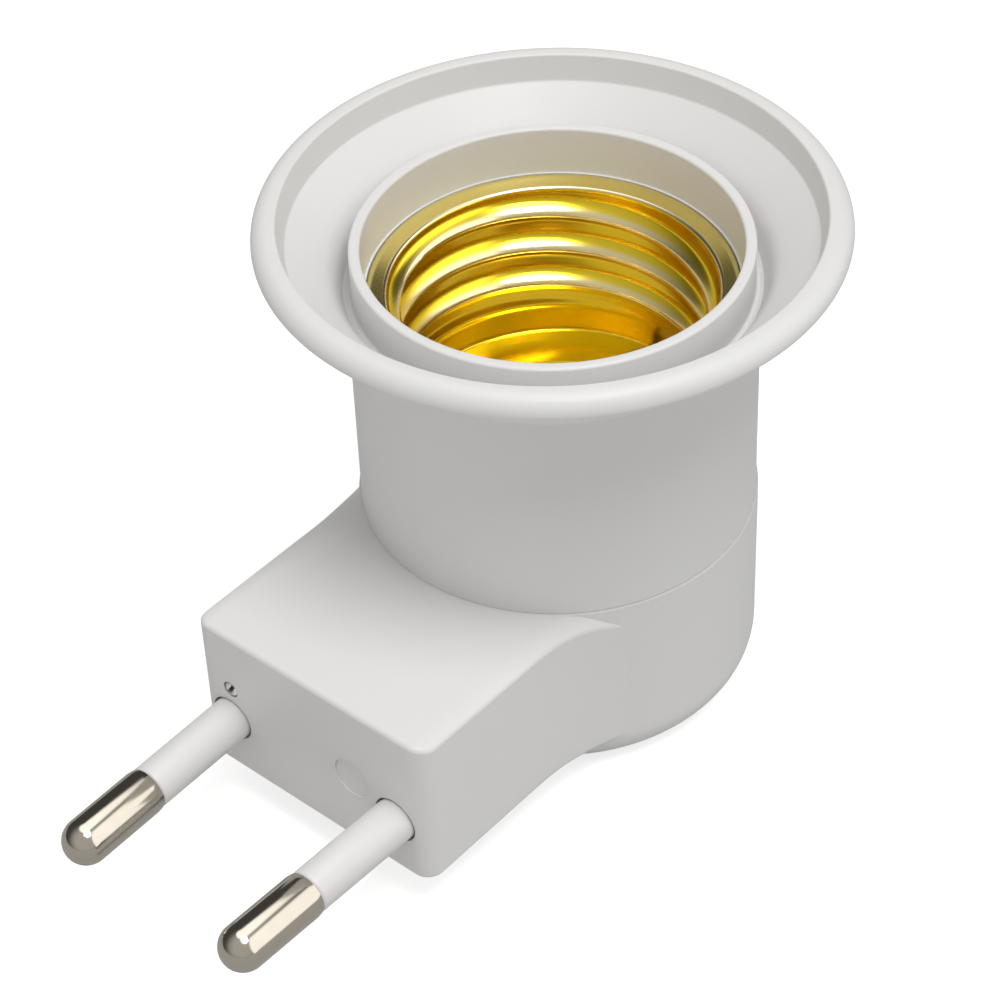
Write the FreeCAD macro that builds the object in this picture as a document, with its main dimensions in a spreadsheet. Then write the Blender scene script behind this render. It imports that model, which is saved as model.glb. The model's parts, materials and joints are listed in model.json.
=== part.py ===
import FreeCAD, Part
import Sketcher
import math
import os
from types import SimpleNamespace

# Plug-in lamp holder: a lamp socket in a flared bell, on an elbow housing with two mains pins.
# Origin at the centre of the drum's flat underside, +Z up the socket, pins towards -Y. Millimetres.

SIZES = {
    # Elbow housing: a drum under the socket and an arm that carries the pins
    "housing_height": 18.7,
    "housing_wall": 1.9,
    "parting_height": 9.2,
    "drum_step": 0.2,
    "drum_edge_round": 4.2,
    "drum_floor": 2.0,
    "arm_underside": 3.6,
    "arm_reach": 31.5,
    "arm_side_cover": 0.5,
    "arm_corner_round": 1.6,
    "arm_edge_round": 0.45,
    "arm_foot_round": 0.6,
    "blend_radius": 20.0,
    "blend_overlap": 0.05,
    "shoulder_inset": 0.4,
    "shoulder_slope": 0.87,
    "shoulder_round": 3.0,
    "collar_depth": 1.5,
    "shelf_thickness": 1.5,
    "wire_opening_margin": 2.1,
    # Sleeve, inner ring and bell, moulded in one
    "spigot_clearance": 0.1,
    "flange_thickness": 2.2,
    "socket_bore_radius": 15.27,
    "seat_step": 0.18,
    "sleeve_wall": 1.38,
    "mouth_depth": 4.65,
    "ring_wall": 0.93,
    "ring_edge_round": 0.25,
    "trough_depth": 4.0,
    "trough_width": 0.7,
    "funnel_foot_run": 1.3,
    "funnel_foot_rise": 2.53,
    "funnel_run": 2.9,
    "bell_root_drop": 0.9,
    "band_depth": 2.25,
    "band_lean": 0.6,
    "lip_rise": 3.05,
    "lip_width": 2.06,
    "lip_inner_round": 0.2,
    "lip_thickness": 1.9,
    "lip_top_round": 1.4,
    "lip_under_round": 0.45,
    "lip_under_width": 0.4,
    # Insulating core and the screw shell in it
    "core_clearance": 0.12,
    "core_wall": 1.17,
    "core_depth": 15.3,
    "core_floor_thickness": 2.5,
    "core_skirt_height": 1.9,
    "core_skirt_wall": 1.5,
    "core_boss_radius": 2.0,
    "shell_clearance": 0.15,
    "shell_sheet": 0.3,
    "thread_depth": 1.1,
    "thread_pitch": 3.63,
    "first_crest_drop": 2.4,
    "shell_floor_width": 4.35,
    # Centre contact
    "leaf_width": 4.4,
    "leaf_sheet": 0.4,
    "leaf_foot_margin": 1.2,
    "leaf_rivet_inset": 1.8,
    "leaf_bend_inset": 2.0,
    "leaf_pad_half": 2.2,
    "leaf_rise": 2.7,
    "tip_gap": 0.1,
    "tip_radius": 1.8,
    "tip_thickness": 1.1,
    "tip_crown": 0.5,
    # Rivets, tags and wires
    "rivet_radius": 1.0,
    "rivet_head_radius": 1.5,
    "rivet_head_height": 0.7,
    "rivet_clearance": 0.04,
    "shell_rivet_inset": 2.15,
    "tag_sheet": 0.5,
    "tag_width": 4.0,
    "tag_overhang": 1.8,
    "tag_drop": 9.1,
    "live_tag_margin": 1.2,
    "neutral_tag_margin": 1.1,
    "wire_radius": 1.0,
    "wire_rise": 1.1,
    "wire_end_run": 5.0,
    "live_wire_run": 9.0,
    "live_wire_side": 6.8,
    "live_wire_front": 3.5,
    "live_wire_lift": 2.2,
    "neutral_wire_run": 5.5,
    # Mains pins
    "pin_root_spacing": 18.0,
    "pin_closing": 0.8,
    "pin_length": 19.0,
    "pin_radius": 2.0,
    "pin_shoulder_length": 0.6,
    "pin_sleeve_length": 10.0,
    "pin_sleeve_radius": 1.9,
    "pin_core_radius": 1.4,
    "pin_core_clearance": 0.02,
    "pin_hole_clearance": 0.2,
    "pin_flange_radius": 2.7,
    "pin_flange_thickness": 1.5,
    "pin_flange_gap": 0.12,
    "pin_sleeve_tail": 5.6,
    "pin_tail": 9.0,
    "solder_cup_radius": 0.8,
    "solder_cup_depth": 3.0,
    "rib_thickness": 1.2,
    # Screws
    "screw_radius": 1.1,
    "screw_clearance": 0.15,
    "screw_bite_clearance": 0.03,
    "screw_head_radius": 1.9,
    "screw_head_height": 1.4,
    "screw_point": 0.8,
    "cover_screw_length": 8.0,
    "core_screw_length": 6.4,
    "core_screw_inset": 1.87,
    "screw_seat_height": 5.5,
    "screw_recess_clearance": 0.3,
    "cover_boss_wall": 1.0,
    "housing_boss_radius": 2.4,
    "rear_screw_side": 5.7,
    "rear_screw_inset": 7.05,
    "front_screw_inset": 10.0,
    "slot_width": 0.55,
    "slot_depth": 0.7,
    # Small marks on the plug face
    "face_screw_inset": 0.2,
    "face_screw_rise": 3.4,
    "face_screw_radius": 0.75,
    "face_screw_head": 0.5,
    "face_screw_shank_radius": 0.45,
    "face_screw_length": 0.8,
    "mould_mark_side": 4.5,
    "mould_mark_rise": 1.8,
    "mould_mark_radius": 1.85,
    "mould_mark_depth": 0.15,
}

# How far a cutting tool runs past the faces that it cuts
OVERRUN = 1.0

# Lengths closer than this count as equal when edges are picked
LEEWAY = 1e-4


class Size:
    """A number together with the sheet expression that drives it"""

    def __init__(self, value, text):
        self.value = value
        self.text = text

    def joined(self, other, sign, value):
        return Size(value, "(" + self.text + " " + sign + " " + other.text + ")")

    def __add__(self, other):
        other = as_size(other)
        return self.joined(other, "+", self.value + other.value)

    def __sub__(self, other):
        other = as_size(other)
        return self.joined(other, "-", self.value - other.value)

    def __mul__(self, other):
        other = as_size(other)
        return self.joined(other, "*", self.value * other.value)

    def __truediv__(self, other):
        other = as_size(other)
        return self.joined(other, "/", self.value / other.value)

    def __radd__(self, other):
        return as_size(other) + self

    def __rsub__(self, other):
        return as_size(other) - self

    def __rmul__(self, other):
        return as_size(other) * self

    def __neg__(self):
        return Size(-self.value, "(0 - " + self.text + ")")


def as_size(thing):
    if isinstance(thing, Size):
        return thing
    return Size(float(thing), repr(float(thing)))


def square_root(thing):
    return Size(math.sqrt(thing.value), "sqrt(" + thing.text + ")")


def larger(first, second):
    first, second = as_size(first), as_size(second)
    return Size(max(first.value, second.value), "max(" + first.text + "; " + second.text + ")")


doc = FreeCAD.newDocument("lamp_holder")
sheet = doc.addObject("Spreadsheet::Sheet", "Sizes")
size = SimpleNamespace()
for row, (alias, number) in enumerate(SIZES.items(), start=1):
    sheet.set("A" + str(row), alias)
    sheet.set("B" + str(row), str(number))
    sheet.setAlias("B" + str(row), alias)
    setattr(size, alias, Size(float(number), "Sizes." + alias))
doc.recompute()

parts = []


def bind(thing, **properties):
    """Sets properties to sizes; a double underscore in a name stands for a dot"""
    for name, value in properties.items():
        thing.setExpression(name.replace("__", "."), as_size(value).text)


def put(thing, x=0, y=0, z=0):
    bind(thing, Placement__Base__x=x, Placement__Base__y=y, Placement__Base__z=z)


def keep(thing, label):
    """Names a finished sub-part"""
    thing.Label = label
    parts.append(thing)
    return thing


def origin_part(body, role):
    return next(item for item in body.Origin.OriginFeatures if item.Role == role)


def new_body(name):
    return doc.addObject("PartDesign::Body", name)


def new_sketch(body, name, plane, height=None):
    sketch = body.newObject("Sketcher::SketchObject", name)
    sketch.AttachmentSupport = [(origin_part(body, plane), "")]
    sketch.MapMode = "FlatFace"
    if height is not None:
        bind(sketch, AttachmentOffset__Base__z=height)
    return sketch


def fix_coordinate(sketch, kind, edge, end, value):
    """Ties one coordinate of a sketch point to a size"""
    value = as_size(value)
    index = sketch.addConstraint(Sketcher.Constraint(kind, -1, 1, edge, end, value.value))
    sketch.setExpression("Constraints[" + str(index) + "]", value.text)


def outline(body, name, plane, start, steps, height=None):
    """A closed sketch from start through steps and straight back.
    A step is (x, y) for a line, or (x, y, centre x, centre y, turn) for an arc, turn +1 being anticlockwise."""
    sketch = new_sketch(body, name, plane, height)
    corners = [start] + [step[:2] for step in steps]
    places = [FreeCAD.Vector(as_size(x).value, as_size(y).value, 0) for x, y in corners]
    ends = []
    for index, step in enumerate(steps + [start]):
        here, there = places[index], places[(index + 1) % len(places)]
        if len(step) == 2:
            sketch.addGeometry(Part.LineSegment(here, there))
            ends.append((1, 2))
            continue
        middle = FreeCAD.Vector(as_size(step[2]).value, as_size(step[3]).value, 0)
        first, last = (here, there) if step[4] > 0 else (there, here)
        angles = [math.atan2(point.y - middle.y, point.x - middle.x) for point in (first, last)]
        circle = Part.Circle(middle, FreeCAD.Vector(0, 0, 1), (here - middle).Length)
        sketch.addGeometry(Part.ArcOfCircle(circle, angles[0], angles[1]))
        ends.append((1, 2) if step[4] > 0 else (2, 1))
    for index, (entry, leave) in enumerate(ends):
        following = (index + 1) % len(ends)
        sketch.addConstraint(Sketcher.Constraint("Coincident", index, leave, following, ends[following][0]))
    for index, (x, y) in enumerate(corners):
        entry = ends[index][0]
        arrived = steps[index - 1] if index > 0 else start
        reach = None
        if len(arrived) > 2:
            reach = places[index] - FreeCAD.Vector(as_size(arrived[2]).value, as_size(arrived[3]).value, 0)
        if reach is None or abs(reach.x) <= abs(reach.y):
            fix_coordinate(sketch, "DistanceX", index, entry, x)
        if reach is None or abs(reach.x) > abs(reach.y):
            fix_coordinate(sketch, "DistanceY", index, entry, y)
    for index, step in enumerate(steps):
        if len(step) > 2:
            fix_coordinate(sketch, "DistanceX", index, 3, step[2])
            fix_coordinate(sketch, "DistanceY", index, 3, step[3])
    return sketch


def disc_outline(body, name, radius, x=0, y=0, height=None):
    sketch = new_sketch(body, name, "XY_Plane", height)
    middle = FreeCAD.Vector(as_size(x).value, as_size(y).value, 0)
    sketch.addGeometry(Part.Circle(middle, FreeCAD.Vector(0, 0, 1), radius.value))
    index = sketch.addConstraint(Sketcher.Constraint("Radius", 0, radius.value))
    sketch.setExpression("Constraints[" + str(index) + "]", radius.text)
    fix_coordinate(sketch, "DistanceX", 0, 3, x)
    fix_coordinate(sketch, "DistanceY", 0, 3, y)
    return sketch


def pad(body, sketch, length, middle=False):
    feature = body.newObject("PartDesign::Pad", sketch.Name + "_pad")
    feature.Profile = sketch
    feature.Midplane = middle
    bind(feature, Length=length)
    return feature


def pocket(body, sketch, depth, up=False):
    """Cuts below the sketch plane, or above it; the solid must lose volume"""
    before = body.Shape.Volume
    feature = body.newObject("PartDesign::Pocket", sketch.Name + "_pocket")
    feature.Profile = sketch
    feature.Reversed = up
    bind(feature, Length=depth)
    doc.recompute()
    if body.Shape.Volume >= before:
        raise ValueError(sketch.Name + " cuts nothing")
    return feature


def turned(name, start, steps):
    """A body turned about its Z axis from an outline in the XZ plane"""
    body = new_body(name)
    sketch = outline(body, name + "_section", "XZ_Plane", start, steps)
    feature = body.newObject("PartDesign::Revolution", name + "_turn")
    feature.Profile = sketch
    feature.ReferenceAxis = (origin_part(body, "Z_Axis"), [""])
    feature.Angle = 360
    doc.recompute()
    return body


def round_edges(body, name, radius, chosen):
    """Fillets the edges of the body's tip that pass the test"""
    doc.recompute()
    base = body.Tip
    names = ["Edge" + str(index + 1) for index, edge in enumerate(base.Shape.Edges) if chosen(edge)]
    feature = body.newObject("PartDesign::Fillet", name)
    feature.Base = (base, names)
    bind(feature, Radius=radius)
    doc.recompute()
    return feature


def cylinder(name, radius, bottom, top, x=0, y=0):
    thing = doc.addObject("Part::Cylinder", name)
    bind(thing, Radius=radius, Height=top - bottom)
    put(thing, x, y, bottom)
    return thing


def block(name, low, high):
    thing = doc.addObject("Part::Box", name)
    spans = [as_size(last) - first for first, last in zip(low, high)]
    bind(thing, Length=spans[0], Width=spans[1], Height=spans[2])
    put(thing, *low)
    return thing


def cut(name, base, tool):
    thing = doc.addObject("Part::Cut", name)
    thing.Base, thing.Tool = base, tool
    return thing


def common(name, base, tool):
    thing = doc.addObject("Part::Common", name)
    thing.Base, thing.Tool = base, tool
    return thing


def fuse(name, things):
    thing = doc.addObject("Part::MultiFuse", name)
    thing.Shapes = things
    return thing


# Heights that follow from the table, from the housing's shelf up to the lip
shelf_top = size.housing_height - size.collar_depth
shelf_bottom = shelf_top - size.shelf_thickness
core_bottom = shelf_top + size.flange_thickness
core_underside = core_bottom + size.core_skirt_height
core_floor = core_underside + size.core_floor_thickness
shell_floor_top = core_floor + size.shell_sheet
core_rim = core_floor + size.core_depth
shell_top = core_rim + size.shell_sheet
ring_top = core_rim + size.mouth_depth
trough_floor = ring_top - size.trough_depth
lip_top = ring_top + size.lip_rise
lip_underside = lip_top - size.lip_thickness
tag_foot = core_underside - size.tag_drop

# Radii outside the socket's bore, then those inside it
sleeve_radius = size.socket_bore_radius + size.sleeve_wall
drum_radius = sleeve_radius + size.drum_step
bore_radius = drum_radius - size.housing_wall
seat_radius = size.socket_bore_radius - size.seat_step
core_outer_radius = seat_radius - size.core_clearance
core_bore_radius = core_outer_radius - size.core_wall
skirt_inner_radius = core_outer_radius - size.core_skirt_wall
thread_root_radius = core_bore_radius - size.shell_clearance - size.shell_sheet
thread_crest_radius = thread_root_radius - size.thread_depth
shell_hole_radius = thread_root_radius - size.shell_floor_width

# Distances of small parts from the socket's axis
core_screw_distance = skirt_inner_radius - size.core_screw_inset
wire_opening_radius = core_screw_distance - size.wire_opening_margin
live_tag_leg = wire_opening_radius - size.live_tag_margin
neutral_tag_leg = wire_opening_radius - size.neutral_tag_margin
leaf_foot_end = shell_hole_radius - size.leaf_foot_margin
contact_rivet_distance = leaf_foot_end - size.leaf_rivet_inset
leaf_bend = contact_rivet_distance - size.leaf_bend_inset
shell_rivet_distance = thread_root_radius - size.shell_rivet_inset
rear_screw_distance = drum_radius - size.rear_screw_inset

# The arm, and the holes for screws and rivets
flange_room_radius = size.pin_flange_radius + size.pin_hole_clearance
arm_half_width = size.pin_root_spacing / 2 + flange_room_radius + size.arm_side_cover
rib_front = size.arm_reach - size.housing_wall - size.pin_flange_thickness - 2 * size.pin_flange_gap
screw_hole_radius = size.screw_radius + size.screw_clearance
screw_bite_radius = size.screw_radius + size.screw_bite_clearance
recess_radius = size.screw_head_radius + size.screw_recess_clearance
cover_boss_radius = recess_radius + size.cover_boss_wall
rivet_hole_radius = size.rivet_radius + size.rivet_clearance
face_screw_x = size.face_screw_inset - size.pin_root_spacing / 2
face_screw_z = size.parting_height + size.face_screw_rise
cover_screw_places = {
    "front": (as_size(0), size.front_screw_inset - size.arm_reach),
    "rear_left": (-size.rear_screw_side, rear_screw_distance),
    "rear_right": (size.rear_screw_side, rear_screw_distance),
}


# Elbow housing
def arm_outline(body):
    """The arm from above: straight sides that sweep out into the drum, and rounded corners at the plug face.
    Each sweep is an arc that runs a little way into the drum, so that the two meet at a slight angle."""
    corner = size.arm_corner_round
    brow, front = arm_half_width - corner, corner - size.arm_reach
    sunk_radius = drum_radius - size.blend_overlap
    reach = sunk_radius + size.blend_radius
    centre_x = arm_half_width + size.blend_radius
    centre_y = -square_root(reach * reach - centre_x * centre_x)
    end_x, end_y = centre_x * sunk_radius / reach, centre_y * sunk_radius / reach
    steps = [
        (arm_half_width, front, brow, front, 1),
        (arm_half_width, centre_y),
        (end_x, end_y, centre_x, centre_y, -1),
        (-end_x, end_y),
        (-arm_half_width, centre_y, -centre_x, centre_y, -1),
        (-arm_half_width, front),
        (-brow, -size.arm_reach, -brow, front, 1),
    ]
    return outline(body, "arm_outline", "XY_Plane", (brow, -size.arm_reach), steps, size.arm_underside)


def shoulder_outline(body, label, side):
    """What is cut off the arm's top at one side: the flat top turns down through a round into a slope"""
    top, slope, radius = size.housing_height, size.shoulder_slope, size.shoulder_round
    ridge = arm_half_width - size.shoulder_inset
    slant = square_root(slope * slope + 1)
    run = radius * (slant - 1) / slope
    flat_end, slope_start = ridge - run, ridge + run / slant
    steps = [
        (side * flat_end, top),
        (side * slope_start, top - run * slope / slant, side * flat_end, top - radius, -side),
        (side * drum_radius, top - (drum_radius - ridge) * slope),
        (side * drum_radius, top + OVERRUN),
    ]
    return outline(body, "shoulder_" + label, "XZ_Plane", (side * flat_end, top + OVERRUN), steps)


def build_arm_form():
    body = new_body("arm_form")
    pad(body, arm_outline(body), size.housing_height - size.arm_underside)
    doc.recompute()
    for label, side in (("left", -1), ("right", 1)):
        pocket(body, shoulder_outline(body, label, side), size.arm_reach + OVERRUN, up=True)
    low, high = size.arm_underside.value, size.housing_height.value
    half, back = arm_half_width.value, body.Shape.BoundBox.YMax

    def at_back(edge):
        return edge.BoundBox.YMin > back - LEEWAY

    def inner_line(edge):
        box = edge.BoundBox
        return box.XLength < LEEWAY and abs(abs(box.XMin) - half) > LEEWAY

    round_edges(body, "arm_foot_rounding", size.arm_foot_round,
                lambda edge: edge.BoundBox.ZMax < low + LEEWAY and not at_back(edge))
    round_edges(body, "arm_edge_rounding", size.arm_edge_round,
                lambda edge: edge.BoundBox.ZMin > (low + high) / 2 and not at_back(edge)
                and not inner_line(edge))
    return body


def housing_form():
    """The outside of both housing halves as one solid"""
    radius, edge = drum_radius, size.drum_edge_round
    steps = [
        (radius - edge, as_size(0)),
        (radius, edge, radius - edge, edge, 1),
        (radius, size.housing_height),
        (as_size(0), size.housing_height),
    ]
    drum = turned("drum_form", (as_size(0), as_size(0)), steps)
    return fuse("housing_form", [build_arm_form(), drum])


def housing_cavity():
    """The hollow of both housing halves as one solid"""
    wall = size.housing_wall
    half = arm_half_width - wall
    arm = block("arm_cavity", (-half, wall - size.arm_reach, size.arm_underside + wall),
                (half, as_size(0), size.housing_height - wall))
    drum = cylinder("drum_cavity", bore_radius, size.drum_floor, size.housing_height + OVERRUN)
    return fuse("housing_cavity", [arm, drum])


def pin_side(side):
    """The turn from the Z axis to a pin's axis, which leans in towards the other pin's tip"""
    lean = size.pin_closing / 2
    angle = math.degrees(math.asin(lean.value / size.pin_length.value))
    turn = FreeCAD.Rotation(FreeCAD.Vector(0, 0, 1), -side * angle)
    return turn.multiply(FreeCAD.Rotation(FreeCAD.Vector(1, 0, 0), 90))


def on_pin_axis(thing, side):
    """Places a thing whose Z axis is the pin's, with its origin on the plug face"""
    thing.Placement = FreeCAD.Placement(FreeCAD.Vector(0, 0, 0), pin_side(side))
    put(thing, side * size.pin_root_spacing / 2, -size.arm_reach, size.parting_height)


def pin_holes():
    """Tools that cut each pin's hole through the face and the rib, and room for the flange between them"""
    hole = size.pin_sleeve_radius + size.pin_hole_clearance
    inside = -size.housing_wall
    back = inside - size.pin_flange_thickness - 2 * size.pin_flange_gap
    tools = []
    for label, side in (("left", -1), ("right", 1)):
        steps = [
            (hole, -size.pin_tail),
            (hole, back),
            (flange_room_radius, back),
            (flange_room_radius, inside),
            (hole, inside),
            (hole, as_size(OVERRUN)),
            (as_size(0), as_size(OVERRUN)),
        ]
        tool = turned("pin_hole_" + label, (as_size(0), -size.pin_tail), steps)
        on_pin_axis(tool, side)
        tools.append(tool)
    return tools


def rib(name, bottom, top):
    """A wall across the arm that traps the pin flanges against the face"""
    half = arm_half_width - size.housing_wall / 2
    back = rib_front - size.rib_thickness
    return block(name, (-half, -rib_front, bottom), (half, -back, top))


def build_housing():
    form, cavity = housing_form(), housing_cavity()
    far = size.arm_reach + drum_radius
    upper_slab = block("upper_slab", (-far, -far, size.parting_height),
                       (far, far, size.housing_height + OVERRUN))
    lower_slab = block("lower_slab", (-far, -far, as_size(-OVERRUN)), (far, far, size.parting_height))
    holes = pin_holes()

    # Upper half: a collar and shelf that seat the sleeve, and bosses for the cover screws
    upper_shell = cut("upper_shell", common("upper_form", form, upper_slab), cavity)
    collar = cut("collar", cylinder("collar_outside", drum_radius, shelf_bottom, size.housing_height),
                 cylinder("collar_bore", bore_radius, shelf_top, size.housing_height + OVERRUN))
    additions = [upper_shell, collar]
    tools = list(holes)
    tools.append(cylinder("wire_opening", wire_opening_radius, shelf_bottom - OVERRUN,
                          shelf_top + OVERRUN))
    for place, (x, y) in cover_screw_places.items():
        top = size.housing_height - size.housing_wall if place == "front" else shelf_bottom
        tip = size.screw_seat_height + size.cover_screw_length
        additions.append(cylinder("upper_boss_" + place, size.housing_boss_radius,
                                  size.parting_height, top + size.housing_wall / 2, x, y))
        tools.append(cylinder("bite_hole_" + place, screw_bite_radius,
                              size.parting_height - OVERRUN, tip + size.screw_clearance, x, y))
    for label, side in (("left", -1), ("right", 1)):
        tools.append(cylinder("shelf_hole_" + label, screw_hole_radius, shelf_bottom - OVERRUN,
                              shelf_top + OVERRUN, side * core_screw_distance))
    additions.append(rib("upper_rib", size.parting_height,
                         size.housing_height - size.housing_wall / 2))
    tools += face_marks()
    upper = cut("upper_housing", fuse("upper_solid", additions), fuse("upper_tools", tools))
    keep(upper, "upper_housing")

    # Lower half: a cover with recessed screw bosses
    lower_shell = cut("lower_shell", common("lower_form", form, lower_slab), cavity)
    additions, tools = [lower_shell], list(holes)
    for place, (x, y) in cover_screw_places.items():
        floor = size.arm_underside if place == "front" else as_size(0)
        additions.append(cylinder("cover_boss_" + place, cover_boss_radius,
                                  floor + size.housing_wall / 2, size.parting_height, x, y))
        tools.append(cylinder("screw_recess_" + place, recess_radius,
                              floor - OVERRUN, size.screw_seat_height, x, y))
        tools.append(cylinder("screw_hole_" + place, screw_hole_radius,
                              size.screw_seat_height - OVERRUN, size.parting_height + OVERRUN, x, y))
    additions.append(rib("cover_rib", size.arm_underside + size.housing_wall / 2, size.parting_height))
    cover = cut("base_cover", fuse("cover_solid", additions), fuse("cover_tools", tools))
    keep(cover, "base_cover")


def face_marks():
    """The recess for the small face screw, and a shallow round moulding mark"""
    tools = []
    recess = size.face_screw_radius + size.screw_bite_clearance
    shank = size.face_screw_shank_radius + size.screw_bite_clearance
    depth = size.face_screw_head + size.face_screw_length
    cuts = [("face_recess", recess, size.face_screw_head, face_screw_x, face_screw_z),
            ("face_bite_hole", shank, depth, face_screw_x, face_screw_z),
            ("mould_mark", size.mould_mark_radius, size.mould_mark_depth,
             size.mould_mark_side, size.parting_height + size.mould_mark_rise)]
    for name, radius, reach, x, z in cuts:
        tool = doc.addObject("Part::Cylinder", name)
        bind(tool, Radius=radius, Height=reach + OVERRUN)
        across = FreeCAD.Rotation(FreeCAD.Vector(1, 0, 0), 90)
        tool.Placement = FreeCAD.Placement(FreeCAD.Vector(0, 0, 0), across)
        put(tool, x, reach - size.arm_reach, z)
        tools.append(tool)
    return tools


# Sleeve with the inner ring and the flared bell
def build_bell_sleeve():
    spigot_radius = bore_radius - size.spigot_clearance
    ring_outer_radius = size.socket_bore_radius + size.ring_wall
    trough_outer_radius = ring_outer_radius + size.trough_width
    funnel_foot_radius = trough_outer_radius + size.funnel_foot_run
    band_foot_radius = funnel_foot_radius + size.funnel_run
    lip_inner_radius = band_foot_radius + size.band_lean
    rim_radius = lip_inner_radius + size.lip_width
    lip_crown = rim_radius - size.lip_top_round
    lip_shoulder = lip_top - size.lip_top_round
    under_edge = rim_radius - size.lip_under_round
    under_centre = lip_underside + size.lip_under_round
    lip_edge = lip_inner_radius + size.lip_inner_round
    lip_edge_centre = lip_top - size.lip_inner_round
    ring_edge_centre = ring_top - size.ring_edge_round
    ring_outer_centre = ring_outer_radius - size.ring_edge_round
    ring_inner_centre = size.socket_bore_radius + size.ring_edge_round
    steps = [
        (spigot_radius, shelf_top),
        (spigot_radius, size.housing_height),
        (sleeve_radius, size.housing_height),
        (sleeve_radius, trough_floor - size.bell_root_drop),
        (under_edge - size.lip_under_width, lip_underside),
        (under_edge, lip_underside),
        (rim_radius, under_centre, under_edge, under_centre, 1),
        (rim_radius, lip_shoulder),
        (lip_crown, lip_top, lip_crown, lip_shoulder, 1),
        (lip_edge, lip_top),
        (lip_inner_radius, lip_edge_centre, lip_edge, lip_edge_centre, 1),
        (band_foot_radius, lip_top - size.band_depth),
        (funnel_foot_radius, trough_floor + size.funnel_foot_rise),
        (trough_outer_radius, trough_floor),
        (ring_outer_radius, trough_floor),
        (ring_outer_radius, ring_edge_centre),
        (ring_outer_centre, ring_top, ring_outer_centre, ring_edge_centre, 1),
        (ring_inner_centre, ring_top),
        (size.socket_bore_radius, ring_edge_centre, ring_inner_centre, ring_edge_centre, 1),
        (size.socket_bore_radius, shell_top),
        (seat_radius, shell_top),
        (seat_radius, core_bottom),
        (wire_opening_radius, core_bottom),
    ]
    body = turned("bell_sleeve", (wire_opening_radius, shelf_top), steps)
    for label, side in (("left", -1), ("right", 1)):
        sketch = disc_outline(body, "sleeve_hole_" + label, screw_hole_radius,
                              side * core_screw_distance, 0, shelf_top)
        pocket(body, sketch, size.flange_thickness, up=True)
    keep(body, "bell_sleeve")


# Insulating core: a cup that carries the screw shell above its floor and the tags below it
def build_socket_core():
    steps = [
        (core_outer_radius, core_bottom),
        (core_outer_radius, core_rim),
        (core_bore_radius, core_rim),
        (core_bore_radius, core_floor),
        (as_size(0), core_floor),
        (as_size(0), core_underside),
        (skirt_inner_radius, core_underside),
    ]
    body = turned("socket_core", (skirt_inner_radius, core_bottom), steps)
    for label, side in (("left", -1), ("right", 1)):
        across = side * core_screw_distance
        pad(body, disc_outline(body, "core_boss_" + label, size.core_boss_radius, across, 0, core_bottom),
            core_underside - core_bottom + size.core_floor_thickness / 2)
        doc.recompute()
        depth = size.core_screw_length - size.shelf_thickness - size.flange_thickness
        sketch = disc_outline(body, "core_bite_" + label, screw_bite_radius, across, 0, core_bottom)
        pocket(body, sketch, depth + size.screw_clearance, up=True)
    for label, along in rivet_places().items():
        sketch = disc_outline(body, "core_rivet_hole_" + label, rivet_hole_radius, 0, along, core_underside)
        pocket(body, sketch, size.core_floor_thickness, up=True)
    keep(body, "socket_core")


def rivet_places():
    return {
        "contact": contact_rivet_distance,
        "front": -shell_rivet_distance,
        "rear": shell_rivet_distance,
    }


# Screw shell: thin sheet with three rolled thread turns, a plain foot and a holed floor
def shell_wall_points():
    """Inner wall from the flange down: root and crest heights of each turn"""
    points = []
    for turn in range(3):
        crest = shell_top - size.first_crest_drop - turn * size.thread_pitch
        points.append((thread_root_radius, crest + size.thread_pitch * 0.40))
        points.append((thread_crest_radius, crest + size.thread_pitch * 0.12))
        points.append((thread_crest_radius, crest - size.thread_pitch * 0.12))
        points.append((thread_root_radius, crest - size.thread_pitch * 0.40))
    return points


def build_screw_shell():
    outer_root = thread_root_radius + size.shell_sheet
    wall = shell_wall_points()
    steps = [(thread_root_radius, shell_top)] + wall
    steps += [
        (thread_root_radius, shell_floor_top),
        (shell_hole_radius, shell_floor_top),
        (shell_hole_radius, core_floor),
        (outer_root, core_floor),
    ]
    steps += [(radius + size.shell_sheet, height) for radius, height in reversed(wall)]
    steps += [
        (outer_root, core_rim),
        (core_outer_radius, core_rim),
    ]
    body = turned("screw_shell", (core_outer_radius, shell_top), steps)
    for label in ("front", "rear"):
        sketch = disc_outline(body, "shell_hole_" + label, rivet_hole_radius, 0,
                              rivet_places()[label], core_floor)
        pocket(body, sketch, size.shell_sheet, up=True)
    keep(body, "screw_shell")


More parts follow.
